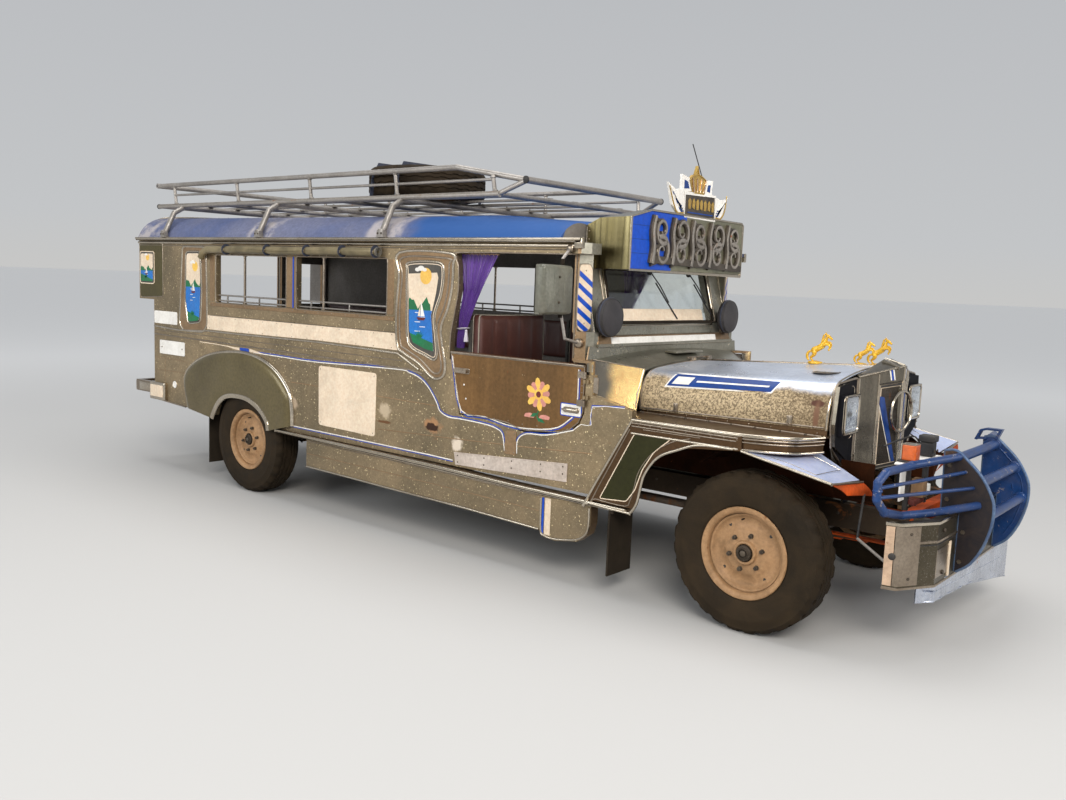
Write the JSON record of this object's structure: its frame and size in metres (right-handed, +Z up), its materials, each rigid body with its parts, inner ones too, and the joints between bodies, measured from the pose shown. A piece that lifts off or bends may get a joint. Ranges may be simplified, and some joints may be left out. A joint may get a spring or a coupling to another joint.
{
  "type": "jeepney",
  "caption": "Long-wheelbase jeepney with a stainless-steel body, open windows, half doors, bull guard and a roof rack with its spare wheel.",
  "frame": {"origin": "on the ground, on the centre plane of the body, midway between the front of the bull guard and the rear step", "axes": "+X forward, +Y to the vehicle's left, +Z up"},
  "size_m": [6.54, 2.0859, 2.4613],
  "materials": {
    "steel_panel": "dull spangled stainless sheet, dusty and scratched",
    "polished_steel": "polished stainless, lightly pitted",
    "olive_paint": "dark olive-green gloss paint, dusty",
    "roof_paint": "dull blue-violet paint with a bright blue patch",
    "hood_steel": "speckled stainless with blue-grey sheen",
    "lamp_panel": "dark blue-grey gloss paint",
    "guard_blue": "bright blue enamel, worn and rusty on the plates",
    "frame_black": "black chassis paint, rusted",
    "cast_dark": "greasy cast iron",
    "rim_cream": "cream-tan enamel, chipped",
    "tyre": "dusty black-brown rubber",
    "mud_rubber": "dull black rubber",
    "glass": "slightly green glass",
    "dash_paint": "satin dark grey",
    "floor_plate": "worn chequer plate",
    "seat_vinyl": "dark vinyl, stitched channels",
    "curtain_cloth": "purple satin with pale edging, olive canvas rolls",
    "sign_steel": "polished steel with blue and cream panels",
    "rack_steel": "worn grey-silver tube",
    "bumper_steel": "silver-grey sheet with rust at the edges",
    "wheel_plastic": "black moulded rim",
    "mirror_body": "grey-green plastic and steel"
  },
  "bodies": {
    "root": {"chassis_frame": "frame_black", "outriggers": "frame_black", "front_axle": "cast_dark", "rear_axle": "cast_dark", "leaf_springs": "cast_dark", "engine_block": "cast_dark", "exhaust": "frame_black", "fuel_tank": "frame_black", "floor": "floor_plate", "left_lower_side": "steel_panel", "right_lower_side": "steel_panel", "left_window_frame": "steel_panel", "right_window_frame": "steel_panel", "rear_wall": "steel_panel", "roof": "roof_paint", "cowl": "hood_steel", "windshield": "glass", "steering_column": "dash_paint", "grille_shell": "lamp_panel", "front_fenders": "polished_steel", "rear_fenders": "olive_paint", "running_boards": "polished_steel", "mud_flaps": "mud_rubber", "front_bumper": "bumper_steel", "bull_guard": "guard_blue", "rear_bumper": "bumper_steel", "destination_sign": "sign_steel", "mirrors": "mirror_body", "roof_rack": "rack_steel", "spare_wheel": "tyre", "seat_frames": "frame_black", "seat_cushions": "seat_vinyl", "curtains": "curtain_cloth"},
    "left_steer": {"left_knuckle": "cast_dark"},
    "right_steer": {"right_knuckle": "cast_dark"},
    "tie_rod_link": {"tie_rod": "cast_dark"},
    "left_front_wheel": {"left_front_rim": "rim_cream", "left_front_tyre": "tyre"},
    "right_front_wheel": {"right_front_rim": "rim_cream", "right_front_tyre": "tyre"},
    "left_rear_wheel": {"left_rear_rim": "rim_cream", "left_rear_tyre": "tyre"},
    "right_rear_wheel": {"right_rear_rim": "rim_cream", "right_rear_tyre": "tyre"},
    "left_door_leaf": {"left_door": "steel_panel"},
    "right_door_leaf": {"right_door": "steel_panel"},
    "hood_lid": {"hood": "hood_steel"},
    "steering_wheel_rim": {"steering_wheel": "wheel_plastic"}
  },
  "joints": [
    {"name": "left_kingpin", "type": "hinge", "parent": "root", "child": "left_steer", "pos_m": [2.33, 0.625, 0.388], "axis": [0, 0, 1], "range_deg": [-30, 30]},
    {"name": "right_kingpin", "type": "hinge", "parent": "root", "child": "right_steer", "pos_m": [2.33, -0.625, 0.388], "axis": [0, 0, 1], "range_deg": [-30, 30]},
    {"name": "tie_rod_pivot", "type": "hinge", "parent": "right_steer", "child": "tie_rod_link", "pos_m": [2.16, -0.625, 0.298], "axis": [0, 0, 1], "range_deg": [-30, 30]},
    {"name": "steering_turn", "type": "hinge", "parent": "root", "child": "steering_wheel_rim", "pos_m": [1.03, 0.4, 1.215], "axis": [-0.7001, 0, 0.7141], "range_deg": [-540, 540]},
    {"name": "left_front_spin", "type": "hinge", "parent": "left_steer", "child": "left_front_wheel", "pos_m": [2.33, 0.77, 0.388], "axis": [0, 1, 0], "continuous": true},
    {"name": "right_front_spin", "type": "hinge", "parent": "right_steer", "child": "right_front_wheel", "pos_m": [2.33, -0.77, 0.388], "axis": [0, 1, 0], "continuous": true},
    {"name": "left_rear_spin", "type": "hinge", "parent": "root", "child": "left_rear_wheel", "pos_m": [-1.7, 0.77, 0.388], "axis": [0, 1, 0], "continuous": true},
    {"name": "right_rear_spin", "type": "hinge", "parent": "root", "child": "right_rear_wheel", "pos_m": [-1.7, -0.77, 0.388], "axis": [0, 1, 0], "continuous": true},
    {"name": "left_door_swing", "type": "hinge", "parent": "root", "child": "left_door_leaf", "pos_m": [1.382, 0.89, 1], "axis": [0, 0, -1], "range_deg": [0, 75]},
    {"name": "right_door_swing", "type": "hinge", "parent": "root", "child": "right_door_leaf", "pos_m": [1.382, -0.89, 1], "axis": [0, 0, 1], "range_deg": [0, 75]},
    {"name": "hood_lift", "type": "hinge", "parent": "root", "child": "hood_lid", "pos_m": [1.541, 0, 1.226], "axis": [0, -1, 0], "range_deg": [0, 50]}
  ],
  "couplings": [
    {"joint": "right_kingpin", "follows": "left_kingpin", "ratio": 1},
    {"joint": "tie_rod_pivot", "follows": "left_kingpin", "ratio": -1},
    {"joint": "steering_turn", "follows": "left_kingpin", "ratio": 18}
  ]
}
